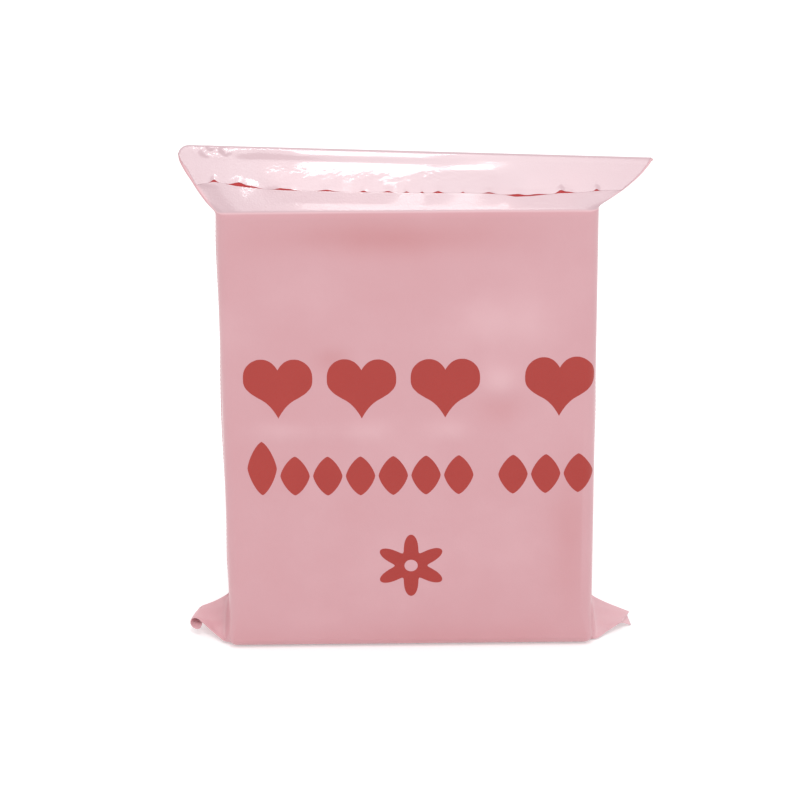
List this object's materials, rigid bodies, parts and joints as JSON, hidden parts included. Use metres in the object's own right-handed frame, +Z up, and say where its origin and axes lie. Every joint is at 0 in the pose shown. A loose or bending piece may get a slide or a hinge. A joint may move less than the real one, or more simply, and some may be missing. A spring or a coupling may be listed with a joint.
{
  "type": "poly mailer bag",
  "caption": "Packed and sealed plastic-film mailing bag standing on its folded bottom, with a flap folded over a wide top ridge and a flat ear at each end of the bottom.",
  "frame": {"origin": "middle of the outline at floor level, under the middle of the standing pack", "axes": "+Z up, -Y towards the printed front, +X to the right as the front is seen"},
  "size_m": [0.2518, 0.053, 0.2916],
  "materials": {
    "film": "pink coextruded polyethylene film with brick-red print, glossy with fine wrinkles"
  },
  "bodies": {
    "root": {"mailer_bag": "film"}
  },
  "joints": []
}
